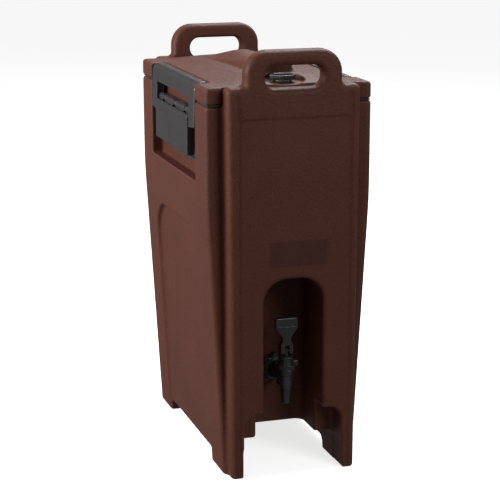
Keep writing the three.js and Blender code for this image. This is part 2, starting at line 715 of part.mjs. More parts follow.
// A plate with a window, whose upper edge hooks over the lid.
function latchFrame() {
  const side = new THREE.Shape();
  const [x, z, radius] = FRAME_BEND;
  side.setFromPoints(FRAME_RISE.map(([u, v]) => new THREE.Vector2(u, v)));
  side.absarc(x, z, radius, 0, Math.PI / 2);
  FRAME_RETURN.forEach(([u, v]) => side.lineTo(u, v));
  const window = box(-7, 33, -WINDOW_HALF, WINDOW_HALF, 480, WINDOW_TOP_Z);
  const pinEnd = FRAME_HALF - PIN_END;
  return prismY(side, -FRAME_HALF, FRAME_HALF)
    .subtract(window)
    .subtract(rodY(PIN_R + GAP, -pinEnd, pinEnd, FRAME_PIN[0], FRAME_PIN[1]));
}

function leverPin() {
  return rodY(PIN_R, -LEVER_HALF + 1, LEVER_HALF - 1, LEVER_PIN[0], LEVER_PIN[1]);
}

function framePin(side) {
  const pin = rodY(PIN_R, LEVER_HALF - 5, FRAME_HALF - PIN_END - 0.5, FRAME_PIN[0], FRAME_PIN[1]);
  return side > 0 ? pin : pin.mirror([0, 1, 0]);
}

function latch(name) {
  const group = new THREE.Group();
  group.add(mesh(`${name}_latch_base`, latchBase(), 'nylon'));
  group.add(mesh(`${name}_latch_lever`, latchLever(), 'nylon'));
  group.add(mesh(`${name}_latch_frame`, latchFrame(), 'nylon'));
  group.add(mesh(`${name}_lever_pin`, leverPin(), 'steel'));
  [-1, 1].forEach((side, i) => {
    group.add(mesh(`${name}_frame_pin_${i + 1}`, framePin(side), 'steel'));
    group.add(mesh(`${name}_latch_screw_${i + 1}`, latchScrew(side), 'steel'));
  });
  return group;
}

// ---------------------------------------------------------------- assembly
function bodyGroup() {
  const group = new THREE.Group();
  group.add(mesh('outer_shell', outerShell(), 'shell'));
  group.add(mesh('foam_core', foamCore(), 'foam'));
  group.add(mesh('inner_tank', innerTank(), 'liner'));
  group.add(mesh('foam_fill_plug', foamFillPlug(), 'shell'));
  group.add(mesh('blank_label', labelPlate(0), 'label'));
  return group;
}

function lidGroup() {
  const group = new THREE.Group();
  group.add(mesh('lid_shell', lidShell(), 'shell'));
  group.add(mesh('lid_foam', lidFoam(), 'foam'));
  group.add(mesh('lid_liner', lidLiner(), 'liner'));
  group.add(mesh('lid_gasket', lidGasket(), 'seal'));
  group.add(mesh('vent_bushing', ventBushing(), 'black'));
  group.add(mesh('vent_seal', ventSeal(), 'silicone'));
  group.add(mesh('vent_cap', ventCap(), 'black'));
  return group;
}

function tapGroup() {
  const group = new THREE.Group();
  group.add(mesh('tap_body', tapBody(), 'black'));
  group.add(mesh('tap_outer_washer', tapOuterWasher(), 'seal'));
  group.add(mesh('tap_ring_nut', tapRingNut(), 'black'));
  group.add(mesh('tap_inner_washer', tapInnerWasher(), 'silicone'));
  group.add(mesh('tap_lock_nut', tapLockNut(), 'black'));
  group.add(mesh('tap_bonnet', tapBonnet(), 'black'));
  group.add(mesh('tap_spring', tapSpring(), 'steel'));
  group.add(mesh('tap_stem', tapStem(), 'black'));
  group.add(mesh('tap_seat_cup', tapSeatCup(), 'silicone'));
  group.add(mesh('tap_handle_pin', tapHandlePin(), 'steel'));
  group.add(mesh('tap_handle', tapHandle(), 'black'));
  return group;
}

const carrier = new THREE.Group();
carrier.add(bodyGroup());
carrier.add(lidGroup());
carrier.add(tapGroup());
const rightLatch = latch('right');
rightLatch.position.x = RECESS_X;
carrier.add(rightLatch);
const leftLatch = latch('left');
leftLatch.position.x = -RECESS_X;
leftLatch.rotation.z = Math.PI;
carrier.add(leftLatch);

export default carrier;
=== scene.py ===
import math

import bpy
import numpy as np
from mathutils import Matrix, Vector


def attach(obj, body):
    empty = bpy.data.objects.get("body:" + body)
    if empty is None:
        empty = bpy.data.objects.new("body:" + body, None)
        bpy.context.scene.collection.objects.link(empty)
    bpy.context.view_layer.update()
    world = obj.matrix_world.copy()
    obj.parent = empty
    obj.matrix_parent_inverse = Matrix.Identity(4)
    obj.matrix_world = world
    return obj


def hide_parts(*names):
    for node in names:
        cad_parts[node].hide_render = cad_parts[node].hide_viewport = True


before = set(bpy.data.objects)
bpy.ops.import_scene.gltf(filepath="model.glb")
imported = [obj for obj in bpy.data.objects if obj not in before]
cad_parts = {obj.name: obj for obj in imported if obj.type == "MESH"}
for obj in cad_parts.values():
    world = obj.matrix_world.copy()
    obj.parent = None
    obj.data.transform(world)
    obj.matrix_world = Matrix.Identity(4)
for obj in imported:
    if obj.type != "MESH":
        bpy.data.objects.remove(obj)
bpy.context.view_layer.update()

MM = 0.001


# ---------------------------------------------------------------- camera
def make_camera():
    """The photograph's view: from the front and a little to the left, looking down."""
    yaw, pitch, roll = (math.radians(a) for a in (-17.23, 13.69, -0.12))
    back = Vector((math.sin(yaw) * math.cos(pitch), -math.cos(yaw) * math.cos(pitch), math.sin(pitch)))
    right = (-back).cross(Vector((0, 0, 1))).normalized()
    up = right.cross(-back)
    right, up = (
        right * math.cos(roll) + up * math.sin(roll),
        up * math.cos(roll) - right * math.sin(roll),
    )
    data = bpy.data.cameras.new("camera")
    data.sensor_width = 36
    data.lens = 116.66
    data.shift_x = -0.0054
    data.shift_y = 0.0158
    camera = bpy.data.objects.new("camera", data)
    turn = Matrix((right, up, back)).transposed().to_4x4()
    camera.matrix_world = Matrix.Translation(Vector((-701.3, -2269.7, 848.7)) * MM) @ turn
    bpy.context.scene.collection.objects.link(camera)
    bpy.context.scene.camera = camera


make_camera()


# ---------------------------------------------------------------- distance fields, in millimetres
def meet(a, b, r):
    """Where both solids are, with the edge between them rounded."""
    return np.minimum(np.maximum(a, b), -r) + np.hypot(np.maximum(a + r, 0), np.maximum(b + r, 0))


def weld(a, b, r):
    """Both solids as one, with a fillet of radius r between them."""
    return np.maximum(np.minimum(a, b), r) - np.hypot(np.maximum(r - a, 0), np.maximum(r - b, 0))


def cut(a, b, r):
    """The first solid without the second, with the edge rounded."""
    return meet(a, -b, r)


def slab(v, low, high):
    return np.abs(v - (low + high) / 2) - (high - low) / 2


def rounded(u, v, half_u, half_v, r):
    return meet(np.abs(u) - half_u, np.abs(v) - half_v, r)


def arch(u, v, half, top, r):
    """A shape with upright sides and rounded upper corners, open at the bottom."""
    return meet(np.abs(u) - half, v - top, r)


def soft_over(v, k):
    """max(v, 0) with a soft bend of size k."""
    return (v + np.sqrt(v * v + k * k)) / 2


def ramp(v, low, high):
    t = np.clip((v - low) / (high - low), 0, 1)
    return t * t * (3 - 2 * t)


def polygon(u, v, points, r=0.0):
    """Distance to a closed polygon, whose corners are rounded by r."""
    nearest = np.full(np.shape(u), 1e9)
    inside = np.zeros(np.shape(u), bool)
    for (u0, v0), (u1, v1) in zip(points, points[1:] + points[:1]):
        du, dv = u1 - u0, v1 - v0
        t = np.clip(((u - u0) * du + (v - v0) * dv) / (du * du + dv * dv), 0, 1)
        nearest = np.minimum(nearest, np.hypot(u - u0 - t * du, v - v0 - t * dv))
        if v0 != v1:
            inside ^= ((v0 > v) != (v1 > v)) & (u < u0 + (v - v0) * du / (v1 - v0))
    distance = np.where(inside, -nearest, nearest)
    return distance - r


def shrunk(points, r):
    """The polygon moved inward by r, so that polygon(..., r) restores its size."""
    pairs = zip(points, points[1:] + points[:1])
    if sum(u0 * v1 - u1 * v0 for (u0, v0), (u1, v1) in pairs) < 0:
        points = points[::-1]
    out = []
    for (ua, va), (ub, vb), (uc, vc) in zip(points[-1:] + points[:-1], points, points[1:] + points[:1]):
        n0 = np.array([-(vb - va), ub - ua]) / math.hypot(ub - ua, vb - va)
        n1 = np.array([-(vc - vb), uc - ub]) / math.hypot(uc - ub, vc - vb)
        bisector = n0 + n1
        scale = r / max(0.35, 1 + float(n0 @ n1))
        out.append((ub + bisector[0] * scale, vb + bisector[1] * scale))
    return out


def profile(u, v, points, r):
    return polygon(u, v, shrunk(points, r), r)


# ---------------------------------------------------------------- meshing a distance field
CORNERS = [(i, j, k) for i in (0, 1) for j in (0, 1) for k in (0, 1)]
EDGES = [
    (a, b) for a in CORNERS for b in CORNERS
    if sum(b) - sum(a) == 1 and all(q >= p for p, q in zip(a, b))
]
BLOCK = 4
FAR = 1e3


def sampled(field, low, counts, step):
    """The field on a grid, worked out only near the surface; elsewhere only its sign is right."""
    nx, ny, nz = counts
    axes = [low[i] + step * np.arange(n, dtype=np.float32) for i, n in enumerate(counts)]
    half = step * (BLOCK - 1) / 2
    coarse_axes = [a[::BLOCK] + half for a in axes]
    cx, cy, cz = np.meshgrid(*coarse_axes, indexing="ij")
    coarse = field(cx, cy, cz)
    near = np.abs(coarse) < step * BLOCK * 0.95 + 1.5

    def grown(a):
        return a.repeat(BLOCK, 0).repeat(BLOCK, 1).repeat(BLOCK, 2)[:nx, :ny, :nz]

    values = np.where(grown(coarse) > 0, FAR, -FAR).astype(np.float32)
    ix, iy, iz = np.nonzero(grown(near))
    values[ix, iy, iz] = field(axes[0][ix], axes[1][iy], axes[2][iz])
    return values


def net(values, low, step):
    """A surface net: one vertex in each cell that the surface crosses, and one quad on each grid edge."""
    inside = values < 0
    cells = tuple(n - 1 for n in values.shape)
    count = np.zeros(cells, np.int8)
    for i, j, k in CORNERS:
        count += inside[i:cells[0] + i, j:cells[1] + j, k:cells[2] + k]
    active = np.nonzero((count > 0) & (count < 8))
    number = np.full(cells, -1, np.int32)
    number[active] = np.arange(len(active[0]), dtype=np.int32)
    total = np.zeros((len(active[0]), 3))
    hits = np.zeros(len(active[0]))
    for a, b in EDGES:
        va = values[active[0] + a[0], active[1] + a[1], active[2] + a[2]].astype(float)
        vb = values[active[0] + b[0], active[1] + b[1], active[2] + b[2]].astype(float)
        crosses = (va < 0) != (vb < 0)
        t = np.where(crosses, va / np.where(crosses, va - vb, 1), 0)
        total += np.where(crosses[:, None], np.array(a) + t[:, None] * (np.array(b) - np.array(a)), 0)
        hits += crosses
    points = np.stack(active, 1) + total / hits[:, None]
    quads = []
    for axis in range(3):
        u, v = (axis + 1) % 3, (axis + 2) % 3
        first = [slice(1, -1)] * 3
        first[axis] = slice(0, -1)
        second = list(first)
        second[axis] = slice(1, None)
        a, b = inside[tuple(first)], inside[tuple(second)]
        for crosses, order in ((a & ~b, 1), (~a & b, -1)):
            base = np.array(np.nonzero(crosses))
            for d in (u, v):
                base[d] += 1
            corners = []
            for du, dv in ((-1, -1), (0, -1), (0, 0), (-1, 0)):
                cell = base.copy()
                cell[u] += du
                cell[v] += dv
                corners.append(number[tuple(cell)])
            quads.append(np.stack(corners[::order], 1))
    return np.array(low) + step * points, np.concatenate(quads)


def gradient(field, points, e=0.04):
    sides = []
    for axis in range(3):
        moved = np.zeros(3)
        moved[axis] = e
        ahead, behind = points + moved, points - moved
        sides.append((field(*ahead.T) - field(*behind.T)) / (2 * e))
    return np.stack(sides, 1)


def settled(field, points, rounds=3, limit=1.2):
    """The points moved onto the surface."""
    for _ in range(rounds):
        g = gradient(field, points)
        size = np.maximum((g * g).sum(1), 0.25)
        move = field(*points.T)[:, None] * g / size[:, None]
        points = points - np.clip(move, -limit, limit)
    return points


def bend(field, points, e):
    """How strongly the surface curves outward at each point: edges are high, hollows are low."""
    total = -6 * field(*points.T)
    for axis in range(3):
        moved = np.zeros(3)
        moved[axis] = e
        total += field(*(points + moved).T) + field(*(points - moved).T)
    return total / e


def mesh_of(name, points, faces):
    mesh = bpy.data.meshes.new(name)
    mesh.vertices.add(len(points))
    mesh.vertices.foreach_set("co", (points * MM).astype(np.float32).ravel())
    mesh.loops.add(faces.size)
    mesh.loops.foreach_set("vertex_index", faces.ravel().astype(np.int32))
    mesh.polygons.add(len(faces))
    mesh.polygons.foreach_set("loop_start", np.arange(0, faces.size, faces.shape[1], dtype=np.int32))
    mesh.update(calc_edges=True)
    mesh.validate()
    return mesh


def coordinates(mesh):
    co = np.zeros(len(mesh.vertices) * 3, np.float32)
    mesh.vertices.foreach_get("co", co)
    return co.reshape(-1, 3).astype(float) / MM


def sculpt(name, field, low, high, step, faces=None, edge=1.5):
    """A mesh of the field inside a box, thinned to about so many triangles, with smooth normals."""
    low = np.array(low, float) - 2 * step
    counts = [int(math.ceil((h + 2 * step - l) / step / BLOCK)) * BLOCK + 1 for l, h in zip(low, high)]
    points, quads = net(sampled(field, low, counts, step), low, step)
    points = settled(field, points, limit=step)
    mesh = mesh_of(name, points, quads)
    piece = bpy.data.objects.new(name, mesh)
    bpy.context.scene.collection.objects.link(piece)
    if faces and 2 * len(mesh.polygons) > faces:
        thin = piece.modifiers.new("thin", "DECIMATE")
        thin.ratio = faces / (2 * len(mesh.polygons))
        bpy.context.view_layer.update()
        evaluated = piece.evaluated_get(bpy.context.evaluated_depsgraph_get())
        thinned = bpy.data.meshes.new_from_object(evaluated)
        piece.modifiers.clear()
        piece.data = thinned
        bpy.data.meshes.remove(mesh)
        mesh = thinned
    points = settled(field, coordinates(mesh), rounds=2, limit=0.5)
    mesh.vertices.foreach_set("co", (points * MM).astype(np.float32).ravel())
    normals = gradient(field, points, 0.15)
    normals /= np.maximum(np.linalg.norm(normals, axis=1), 1e-9)[:, None]
    mesh.update()
    mesh.shade_smooth()
    mesh.normals_split_custom_set_from_vertices(normals.tolist())
    worn = mesh.attributes.new("worn", "FLOAT", "POINT")
    worn.data.foreach_set("value", np.clip(bend(field, points, edge), -1, 1).astype(np.float32))
    mesh.name = name
    return piece


# ---------------------------------------------------------------- body
HALF_W = 120          # half width of the body and lid
BOX_END = 184         # y of the end faces beside the handle blocks
BLOCK_END = 206       # y of the handle blocks' faces
RIM_Z = 529
BLOCK_TOP_Z = 556
TOP_Z = 605
TAPER_Z = 391         # the sides are upright above this height
TAPER = 0.0575
CORNER_R = 9
TAP_Z = 132           # axis of the tap's shank
TAP_Y = -168          # axis of its spout and stem
VENT_Y = -150


def lean(ax, half):
    """The end faces beside the handle blocks fall back a little towards the blocks."""
    return 0.2 * np.clip(half - ax, 0, 25)


def body_half(z):
    return HALF_W - TAPER * soft_over(TAPER_Z - z, 20)


def main_box(x, y, z):
    ax, ay = np.abs(x), np.abs(y)
    half = body_half(z)
    plan = meet(ax - half, ay + lean(ax, half) - BOX_END, CORNER_R)
    return meet(plan, z - RIM_Z, 4.5)


def relief(ax, z):
    """How far the end face lies below the band at its top: a groove beside each corner, and the panel."""
    groove = 1.6 * ramp(ax, 75, 82) * (1 - ramp(ax, 82, 88.5)) * (1 - ramp(z, 538, 552))
    panel = 1.0 * (1 - ramp(ax, 79, 83)) * (1 - ramp(z, 511.5, 514.5))
    return groove + panel


def end_blocks(x, y, z):
    ax, ay = np.abs(x), np.abs(y)
    block = meet(ax - 92 - 3.7 * z / BLOCK_TOP_Z, z - BLOCK_TOP_Z, 8)
    front = weld(block, arch(x, z, 69.5, TOP_Z, 32), 6)
    ends = meet(front, ay - BLOCK_END + relief(ax, z), 10)
    inner = meet(ay - 178, RIM_Z - z, 1)
    return cut(ends, inner, 3 + 6 * ramp(z, 553, 566))


def cavity(x, y, z):
    """The space for the foam."""
    ax = np.abs(x)
    upper = np.maximum(np.maximum(ax - 91.5, slab(y, -179, 179)), 292 - z)
    lower = np.maximum(np.maximum(ax - 91.5, slab(y, -100, 179)), slab(z, 51, 293))
    cheek = np.maximum(np.maximum(slab(ax, 49, 85.5), slab(y, -200, -99)), slab(z, 99, 293))
    return np.minimum(np.minimum(upper, lower), cheek)


def openings(x, y, z):
    """The tap bay, the scoop between the front feet, the channel below and the gap under the skirts."""
    ax, ay = np.abs(x), np.abs(y)
    bay = meet(arch(x, z, 44, 287, 34), y + 105, 12)
    scoop = meet(arch(x, z, 73, 94, 20), y + 165, 6)
    channel = meet(ax - 73, z - 45, 9)
    skirts = meet(ay - 118, z - 18, 12)
    return bay, scoop, channel, skirts


def shell(x, y, z):
    ax, ay = np.abs(x), np.abs(y)
    body = weld(main_box(x, y, z), end_blocks(x, y, z), 5)
    grip = rounded(x, z - 568.5, 42, 15.5, 15)
    body = cut(body, grip, 8)
    for opening, radius in zip(openings(x, y, z), (6, 4, 4, 4)):
        body = cut(body, opening, radius)
    panel_floor = 97 + (z - 18) * 0.0413
    body = cut(body, meet(arch(y, z, 120, 345, 52), panel_floor - ax, 5), 4)
    recess = meet(meet(ay - 124, 418 - z, 3), 102.5 - ax, 3)
    body = cut(body, recess, 2.5)
    body = meet(body, -z, 4)
    body = cut(body, cavity(x, y, z), 0.8)
    shank = np.maximum(np.hypot(x, z - TAP_Z) - 12, slab(y, -110, -96))
    plug = np.maximum(np.hypot(x, y - 90) - 11.3, slab(z, 40, 55))
    return np.maximum(body, -np.minimum(shank, plug))


# ---------------------------------------------------------------- lid
LID_Z = 532
LID_EDGE_Z = 555
LID_WALL = 4
WELL_R = 30


def roof_height(ax, ay):
    """The roof falls to the sides and towards each end, down to the height of the rim."""
    sides = 566 - 0.19 * soft_over(ax - 36, 12)
    ends = 554.5 + 0.25 * (180 - ay)
    lower = sides - soft_over(sides - ends, 6)
    return 554.5 + soft_over(lower - 554.5, 3)


def plane(x, y, z, a, b, c):
    """Signed distance to the plane through three points, which run anticlockwise seen from outside."""
    normal = np.cross(np.subtract(b, a), np.subtract(c, a))
    normal = normal / np.linalg.norm(normal)
    return (x - a[0]) * normal[0] + (y - a[1]) * normal[1] + (z - a[2]) * normal[2]


CREST_FRONT, CREST_REAR = (24, -116, 580), (8, 48, 580)
FOOT_FRONT, TAIL_SIDE, TAIL_END = (28, -120, 558), (46, 130, 558), (23, 150, 558)


def lid_ridge(x, y, z):
    """The crest: steep at the front, narrowing and falling away towards the back on spreading flanks."""
    ax = np.abs(x)
    upper = plane(ax, y, z, CREST_FRONT, TAIL_SIDE, CREST_REAR)
    lower = plane(ax, y, z, CREST_FRONT, FOOT_FRONT, TAIL_SIDE)
    hip = plane(ax, y, z, CREST_REAR, TAIL_SIDE, TAIL_END)
    middle = plane(x, y, z, CREST_REAR, TAIL_END, (-23, 150, 558))
    front = plane(x, y, z, CREST_FRONT, (-24, -116, 580), FOOT_FRONT)
    ridge = meet(meet(meet(upper, lower, 2), meet(hip, middle, 2), 2), z - CREST_FRONT[2], 3)
    return np.maximum(np.maximum(meet(ridge, front, 4), 552 - z), y - 168)


def lid_plan(x, y):
    ax, ay = np.abs(x), np.abs(y)
    middle = meet(ax - 99.5, ay - 176.5, 3)
    corner = meet(meet(ax - HALF_W, ay + lean(ax, HALF_W) - BOX_END, CORNER_R), 125 - ay, 3)
    corner = cut(corner, meet(ax - 97, 176.5 - ay, 3), 2)
    return weld(middle, corner, 2)


def lid(x, y, z):
    """The lid's shell: its roof, ridge and vent well, and the hollow for its foam."""
    ax, ay = np.abs(x), np.abs(y)
    above = z - roof_height(ax, ay)
    ridge = lid_ridge(x, y, z)
    shape = meet(lid_plan(x, y), above * 0.975, 4.5)
    shape = meet(shape, LID_Z - z, 2.5)
    shape = weld(shape, ridge, 4)
    shape = np.maximum(shape, LID_Z - z)
    reach = np.hypot(x, y - VENT_Y)
    well = meet(reach - WELL_R, LID_EDGE_Z - z, 5)
    shape = cut(shape, well, 2.5)
    hollow = meet(rounded(x, y, 95.5, 172.5, 3), above + LID_WALL, 1)
    hollow = np.minimum(hollow, ridge + LID_WALL)
    round_well = np.minimum(z - LID_EDGE_Z + LID_WALL, WELL_R + LID_WALL + 0.5 - reach)
    hollow = np.maximum(hollow, round_well)
    shape = cut(shape, hollow, 0.6)
    return np.maximum(shape, 9.3 - reach)


# ---------------------------------------------------------------- latch, on the +X side
# These fields are drawn 5.5 mm nearer the middle than the latch sits, and moved out when they are meshed.
LATCH_OUT = 5.5
LEVER_PIN = (106, 510)
FRAME_PIN = (110, 497)
PIN_HOLE_R = 2.7
SCREW_SIDE = 62
SCREW_Z = 470


def latch_frame(x, y, z):
    """A plate with a window, whose upper edge hooks over the lid."""
    ay = np.abs(y)
    side = [
        (104, 489), (115.5, 489), (113.4, 544), (111.6, 551.5), (106, 555.6), (96, 556),
        (95.4, 550.5), (101.5, 550.5), (104, 546.5),
    ]
    shape = meet(profile(x, z, side, 1.2), ay - 121, 3.5)
    foot = (488.5 + 0.12 * (ay - 91.5)) - z
    shape = meet(shape, foot, 2)
    window = meet(ay - 91.5, z - 531, 3)
    shape = cut(shape, window, 1.6)
    pin = np.hypot(x - FRAME_PIN[0], z - FRAME_PIN[1]) - PIN_HOLE_R
    return np.maximum(shape, -np.maximum(pin, ay - 112))


def near_lug(y):
    return np.minimum(np.minimum(np.abs(y + 60), np.abs(y)), np.abs(y - 60))


def latch_lever(x, y, z):
    """A wide plate with a pocket behind it, hung on its upper pin and slotted for the lugs of the base."""
    ay = np.abs(y)
    face = [(105.5, 448), (115.5, 448), (117, 450.5), (117, 503), (114.4, 506), (105.5, 506)]
    shape = meet(profile(x, z, face, 1.4), ay - 90, 2.6)
    web = meet(slab(x, 102, 111), slab(z, 499, 510), 0.5)
    upper_pin = np.hypot(x - LEVER_PIN[0], z - LEVER_PIN[1])
    lower_pin = np.hypot(x - FRAME_PIN[0], z - FRAME_PIN[1])
    knuckle = np.minimum(upper_pin - 5, web)
    shape = weld(shape, np.maximum(knuckle, ay - 88), 1)
    pocket = meet(meet(x - 113.5, slab(z, 452, 499), 2), ay - 86, 2)
    shape = cut(shape, pocket, 0.8)
    slots = np.maximum(np.maximum(near_lug(y) - 7, x - 112.5), 498 - z)
    shape = cut(shape, slots, 0.5)
    return np.maximum(shape, PIN_HOLE_R - np.minimum(upper_pin, lower_pin))


def latch_base(x, y, z):
    """The plate in the recess, with its lugs for the lever's pin and its screw holes."""
    ay = np.abs(y)
    plate = meet(meet(slab(x, 97.3, 100.3), ay - 88, 2), slab(z, 436, 514), 2)
    rib = meet(meet(slab(x, 98, 102.6), ay - 86, 1), slab(z, 438, 441.5), 0.8)
    arm = np.maximum(slab(z, 505, 514), slab(x, 99, 106))
    lug = np.minimum(arm, np.hypot(x - LEVER_PIN[0], z - 509.6) - 4.6)
    lug = meet(lug, near_lug(y) - 5.5, 0.6)
    shape = weld(weld(plate, rib, 0.8), lug, 1)
    shape = np.maximum(shape, 2.8 - np.hypot(x - LEVER_PIN[0], z - LEVER_PIN[1]))
    return np.maximum(shape, 3.3 - np.hypot(ay - SCREW_SIDE, z - SCREW_Z))


def pan_screw(x, y, z):
    """A pan head on its shank, along +X, with a cross recess."""
    reach = np.hypot(y, z)
    head = meet(reach - 5.5, slab(x, 100.6, 103.2), 1.2)
    shank = np.maximum(reach - 2.6, slab(x, 97.4, 102))
    upright = meet(np.abs(y) - 0.6, np.abs(z) - 3.2, 0.2)
    level = meet(np.abs(z) - 0.6, np.abs(y) - 3.2, 0.2)
    cross = np.minimum(upright, level)
    return np.maximum(np.minimum(head, shank), -np.maximum(cross, 101.6 - x))


# ---------------------------------------------------------------- tap
def turned(x, y, z, points, r, cy=TAP_Y):
    """A turned solid: the points are its half section, from the axis round and back to it."""
    reach = np.hypot(x, y - cy)
    mirrored = [(-u, v) for u, v in points[::-1] if u > 0]
    return profile(reach, z, [*points, *mirrored], r)


def tap_body(x, y, z):
    """The tapered spout and its collar, the barrel and shank behind them, and the rib between."""
    spout = turned(x, y, z, [(0, 95), (6, 95), (9.8, 134), (10, 139.5), (0, 139.5)], 0.8)
    collar = turned(x, y, z, [(0, 138.5), (12, 138.5), (12, 146), (0, 146)], 1)
    across = np.hypot(x, z - TAP_Z)
    barrel = meet(across - 10.5, slab(y, -168, -118), 1)
    shank = meet(across - 11.7, slab(y, -119, -54), 1)
    rib = meet(meet(np.abs(x) - 1.2, slab(z, 112, 122.5), 0.5), slab(y, -163, -124), 3)
    shape = weld(weld(spout, barrel, 4), np.minimum(collar, shank), 1)
    shape = weld(shape, rib, 1.5)
    bore = np.hypot(x, y - TAP_Y)
    chamber = np.maximum(np.where(z < 116, bore - 4.2, bore - 7.6), 90 - z)
    passage = np.maximum(across - 6, slab(y, -168, -40))
    return np.maximum(shape, -np.minimum(chamber, passage))


def tap_ring_nut(x, y, z):
    reach, angle = np.hypot(x, z - TAP_Z), np.arctan2(z - TAP_Z, x)
    lobes = 20.2 + 2.6 * np.cos(8 * angle)
    body = meet((reach - lobes) * 0.85, slab(y, -119, -108.3), 1.6)
    hub = meet(reach - 15, slab(y, -121, -110), 1)
    return np.maximum(weld(body, hub, 1), 12 - reach)


def tap_bonnet(x, y, z):
    half = [(0, 146.3), (13, 146.3), (13, 153), (10.6, 156), (10.6, 164), (9, 166), (0, 166)]
    shape = turned(x, y, z, half, 0.7)
    lug = meet(meet(slab(x, 6, 17), np.abs(y - TAP_Y) - 3, 1), slab(z, 149, 158), 1.5)
    grip = 0.35 * np.cos(24 * np.arctan2(y - TAP_Y, x)) * ((z > 147.5) & (z < 152))
    shape = weld(shape + grip, lug, 1)
    bore = np.hypot(x, y - TAP_Y)
    return np.maximum(shape, -np.maximum(np.where(z < 158, bore - 7.4, bore - 3.4), 140 - z))


def tap_handle(x, y, z):
    v = y - TAP_Y
    face = [(9.5, 166.6), (9.5, 182), (6.4, 188), (6.4, 193), (16.5, 207), (16.5, 220), (14.5, 222)]
    front = profile(x, z, [*face, *[(-u, w) for u, w in face[::-1]]], 1.4)
    side = [
        (5, 200), (4, 222.6), (-4, 222.6), (-5, 200), (-6.4, 175), (-5.6, 169.5), (0, 166.6),
        (5.6, 169.5), (6.4, 175),
    ]
    shape = meet(front, profile(v, z, side, 1.4), 1.4)
    thumb = meet(np.abs(x) - 12.5, slab(z, 209.5, 218.5), 1.5)
    shape = cut(shape, np.maximum(thumb, v + 3.6), 0.4)
    fork = meet(np.abs(x) - 3.5, z - 182, 2)
    shape = cut(shape, fork, 0.5)
    return np.maximum(shape, 2.4 - np.hypot(v, z - 173))


# ---------------------------------------------------------------- vent
def vent_cap(x, y, z):
    """A dished disc with a ribbed rim and a finger rib, on its stem."""
    reach, angle = np.hypot(x, y - VENT_Y), np.arctan2(y - VENT_Y, x)
    rim = 17.6 + 0.4 * np.cos(30 * angle)
    disc = meet(reach - rim, slab(z, 559.5, 566), 1.4)
    dish = meet(reach - 14, 564 - z, 1)
    disc = cut(disc, dish, 0.8)
    grip = meet(meet(np.abs(x) - 13.6, np.abs(y - VENT_Y) - 2.3, 1), slab(z, 562, 567.5), 0.9)
    stem = np.maximum(reach - 5.5, slab(z, 530, 561))
    return weld(weld(disc, grip, 0.8), stem, 0.6)


# ---------------------------------------------------------------- materials
def bare_material(name):
    material = bpy.data.materials.new(name)
    material.use_nodes = True
    nodes = material.node_tree.nodes
    return material, nodes, material.node_tree.links, nodes["Principled BSDF"]


def noise(nodes, links, place, scale, detail, rough=0.5):
    node = nodes.new("ShaderNodeTexNoise")
    node.inputs["Scale"].default_value = scale
    node.inputs["Detail"].default_value = detail
    node.inputs["Roughness"].default_value = rough
    links.new(place, node.inputs["Vector"])
    return node.outputs["Fac"]


def span(nodes, links, value, from_low, from_high, to_low, to_high):
    node = nodes.new("ShaderNodeMapRange")
    limits = {"From Min": from_low, "From Max": from_high, "To Min": to_low, "To Max": to_high}
    for key, number in limits.items():
        node.inputs[key].default_value = number
    links.new(value, node.inputs["Value"])
    return node.outputs["Result"]


def blend_colour(nodes, links, factor, a, b, mode="MIX"):
    node = nodes.new("ShaderNodeMix")
    node.data_type = "RGBA"
    node.blend_type = mode
    for socket, value in ((node.inputs[0], factor), (node.inputs[6], a), (node.inputs[7], b)):
        if isinstance(value, (int, float)):
            socket.default_value = value
        elif isinstance(value, tuple):
            socket.default_value = (*value, 1)
        else:
            links.new(value, socket)
    return node.outputs[2]


def moulded(name, dark, light, rubbed, rough, grain, bump, spread=0.08, specular=0.5, cloud=9.0):
    """Moulded plastic: cloudy colour, a fine grain in colour and relief, and paler rubbed edges."""
    material, nodes, links, shader = bare_material(name)
    place = nodes.new("ShaderNodeTexCoord").outputs["Object"]
    clouds = noise(nodes, links, place, cloud, 4)
    fine = noise(nodes, links, place, grain, 2.5, 0.6)
    coarse = noise(nodes, links, place, grain * 0.37, 2)
    tone = span(nodes, links, clouds, 0.3, 0.7, 0, 1)
    colour = blend_colour(nodes, links, tone, dark, light)
    speck = span(nodes, links, fine, 0.35, 0.68, 0, 0.42)
    colour = blend_colour(nodes, links, speck, colour, rubbed)
    edges = nodes.new("ShaderNodeAttribute")
    edges.attribute_name = "worn"
    scuffs = noise(nodes, links, place, 60, 5, 0.65)
    edge = span(nodes, links, edges.outputs["Fac"], 0.18, 0.75, 0, 0.55)
    patch = nodes.new("ShaderNodeMath")
    patch.operation = "MULTIPLY"
    links.new(edge, patch.inputs[0])
    links.new(span(nodes, links, scuffs, 0.35, 0.65, 0.25, 1), patch.inputs[1])
    colour = blend_colour(nodes, links, patch.outputs[0], colour, rubbed)
    links.new(colour, shader.inputs["Base Color"])
    sheen = span(nodes, links, scuffs, 0.3, 0.7, rough - spread, rough + spread)
    links.new(sheen, shader.inputs["Roughness"])
    shader.inputs["Specular IOR Level"].default_value = specular
    height = nodes.new("ShaderNodeMath")
    height.operation = "ADD"
    links.new(fine, height.inputs[0])
    links.new(coarse, height.inputs[1])
    relief_node = nodes.new("ShaderNodeBump")
    relief_node.inputs["Strength"].default_value = bump
    relief_node.inputs["Distance"].default_value = 0.0006
    links.new(height.outputs[0], relief_node.inputs["Height"])
    links.new(relief_node.outputs["Normal"], shader.inputs["Normal"])
    return material


